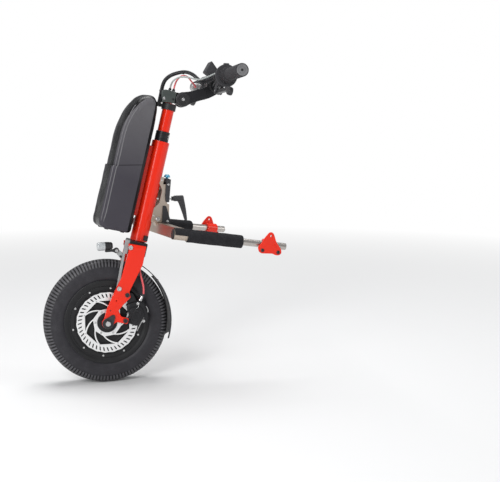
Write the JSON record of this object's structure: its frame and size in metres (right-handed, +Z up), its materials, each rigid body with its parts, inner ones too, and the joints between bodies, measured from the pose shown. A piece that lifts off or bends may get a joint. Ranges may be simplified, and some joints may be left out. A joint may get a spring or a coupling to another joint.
{
  "type": "electric wheelchair attachment",
  "caption": "Powered front wheel with battery bag, steering column and handlebar that clamps to a manual wheelchair's front frame",
  "frame": {"origin": "on the ground, below the middle of the part's box", "axes": "+Z up, -X ahead as the user faces, so -Y is the user's left"},
  "size_m": [0.5952, 0.598, 0.8462],
  "materials": {
    "frame_metal": "satin beige-grey",
    "black_plastic": "fine texture",
    "black_foam": "matt foam",
    "dark_metal": "satin",
    "bright_steel": "bright",
    "red_paint": "gloss",
    "blue_plastic": "gloss",
    "black_fabric": "woven nylon",
    "battery_case": "wrapped",
    "cast_aluminium": "satin",
    "black_anodised": "black anodised",
    "motor_windings": "bare",
    "motor_paint": "satin black",
    "tyre_rubber": "matt",
    "brake_lining": "rough",
    "black_rubber": "ribbed",
    "grey_hose": "smooth",
    "red_hose": "smooth",
    "lamp_lens": "clear"
  },
  "bodies": {
    "dock_frame": {"dock_frame": "frame_metal", "arm_plug_left": "black_plastic", "arm_plug_right": "black_plastic", "arm_sleeve_left": "black_foam", "arm_sleeve_right": "black_foam", "lock_arm": "dark_metal"},
    "rod_left": {"arm_rod_left": "bright_steel", "frame_plate_left": "red_paint", "front_bolt_left": "bright_steel", "rear_bolt_left": "bright_steel"},
    "rod_right": {"arm_rod_right": "bright_steel", "frame_plate_right": "red_paint", "front_bolt_right": "bright_steel", "rear_bolt_right": "bright_steel"},
    "column": {"head_tube": "red_paint", "dock_bracket": "frame_metal", "dock_pivot_pin": "bright_steel", "battery_bag": "black_fabric", "battery_pack": "battery_case", "motor_controller": "cast_aluminium", "bearing_upper": "bright_steel", "bearing_lower": "bright_steel"},
    "release_handle": {"release_handle": "black_plastic"},
    "release_button": {"release_button": "blue_plastic"},
    "clamp_lever": {"clamp_lever": "black_plastic"},
    "fork": {"fork_crown": "black_anodised", "fork_plate_left": "red_paint", "fork_plate_right": "red_paint", "cable_channel": "cast_aluminium", "height_collar": "black_anodised", "axle": "bright_steel", "stator": "motor_windings", "axle_cap_left": "dark_metal", "axle_cap_right": "dark_metal", "brake_caliper": "black_anodised", "mudguard": "black_plastic", "caliper_hose": "red_hose"},
    "brake_pad": {"brake_pad": "brake_lining"},
    "headlight": {"headlight": "black_plastic", "headlight_lens": "lamp_lens"},
    "wheel": {"tyre": "tyre_rubber", "hub_shell": "motor_paint", "motor_cover": "motor_paint", "brake_rotor": "bright_steel"},
    "bar_post": {"bar_post": "red_paint", "stem_block": "dark_metal"},
    "stem": {"stem_arm": "black_anodised", "stem_faceplate": "black_anodised", "handlebar": "black_anodised", "grip_left": "black_rubber", "grip_right": "black_rubber", "control_body_left": "black_plastic", "control_body_right": "black_plastic", "cable_bundle": "black_rubber", "hose_left": "grey_hose", "hose_right": "red_hose"},
    "throttle_sleeve": {"throttle_sleeve": "black_rubber"},
    "brake_lever_left": {"brake_lever_left": "dark_metal"},
    "brake_lever_right": {"brake_lever_right": "dark_metal"},
    "display": {"display": "black_plastic"}
  },
  "joints": [
    {"name": "arm_slide_left", "type": "slide", "parent": "dock_frame", "child": "rod_left", "axis": [0.9737, -0.1737, -0.1473], "range_m": [-0.018, 0.06]},
    {"name": "arm_slide_right", "type": "slide", "parent": "dock_frame", "child": "rod_right", "axis": [0.9737, 0.1737, -0.1473], "range_m": [-0.018, 0.06]},
    {"name": "dock_tilt", "type": "hinge", "parent": "dock_frame", "child": "column", "pos_m": [0.00369, 0.02353, 0.42958], "axis": [0, 1, 0], "range_deg": [-18, 0]},
    {"name": "release_handle_swing", "type": "hinge", "parent": "column", "child": "release_handle", "pos_m": [0.03528, 0.02353, 0.5216], "axis": [0, -1, 0], "range_deg": [0, 12], "stiffness_Nm_per_rad": 0.5, "springref_deg": -11.46},
    {"name": "release_button_press", "type": "slide", "parent": "release_handle", "child": "release_button", "axis": [-0.0952, 0, -0.9955], "range_m": [0, 0.003], "stiffness_N_per_m": 300, "springref_m": -0.002},
    {"name": "clamp_lever_turn", "type": "hinge", "parent": "column", "child": "clamp_lever", "pos_m": [0.05103, 0.02353, 0.48143], "axis": [1, 0, 0], "range_deg": [-90, 90]},
    {"name": "steer", "type": "hinge", "parent": "column", "child": "fork", "pos_m": [-0.10177, 0.02353, 0.15423], "axis": [0.2509, 0, 0.968], "range_deg": [-32.3, 57.7]},
    {"name": "wheel_spin", "type": "hinge", "parent": "fork", "child": "wheel", "pos_m": [-0.13765, 0.03189, 0.16353], "axis": [0.2128, 0.9755, -0.0552], "continuous": true},
    {"name": "headlight_tilt", "type": "hinge", "parent": "fork", "child": "headlight", "pos_m": [-0.11723, -0.00786, 0.35524], "axis": [0.2128, 0.9755, -0.0552], "range_deg": [-15, 15]},
    {"name": "bar_height", "type": "slide", "parent": "fork", "child": "bar_post", "axis": [0.2509, 0, 0.968], "range_m": [-0.05, 0.06]},
    {"name": "stem_tilt", "type": "hinge", "parent": "bar_post", "child": "stem", "pos_m": [0.08154, 0.01696, 0.74525], "axis": [0.2128, 0.9755, -0.0552], "range_deg": [-25, 30], "deforming": ["cable_bundle", "hose_left", "hose_right"]},
    {"name": "throttle_twist", "type": "hinge", "parent": "stem", "child": "throttle_sleeve", "pos_m": [0.15025, -0.09212, 0.8035], "axis": [0.194, 0.9791, -0.0614], "range_deg": [0, 60], "stiffness_Nm_per_rad": 0.05, "springref_deg": -17.19},
    {"name": "brake_lever_left_pull", "type": "hinge", "parent": "stem", "child": "brake_lever_left", "pos_m": [0.13236, -0.10621, 0.76647], "axis": [-0.9478, 0.2032, 0.2457], "range_deg": [0, 8], "stiffness_Nm_per_rad": 2, "springref_deg": -5.73},
    {"name": "brake_lever_right_pull", "type": "hinge", "parent": "stem", "child": "brake_lever_right", "pos_m": [0.17939, 0.10941, 0.75428], "axis": [0.9406, -0.2365, -0.2438], "range_deg": [0, 8], "stiffness_Nm_per_rad": 2, "springref_deg": -5.73},
    {"name": "brake_pad_travel", "type": "slide", "parent": "fork", "child": "brake_pad", "axis": [0.2128, 0.9755, -0.0552], "range_m": [0, 0.0005]},
    {"name": "display_tilt", "type": "hinge", "parent": "stem", "child": "display", "pos_m": [0.1652, 0.00056, 0.77793], "axis": [0.2128, 0.9755, -0.0552], "range_deg": [-20, 4]}
  ],
  "couplings": [
    {"joint": "brake_pad_travel", "follows": "brake_lever_right_pull", "m_per_rad": 0.00358}
  ]
}
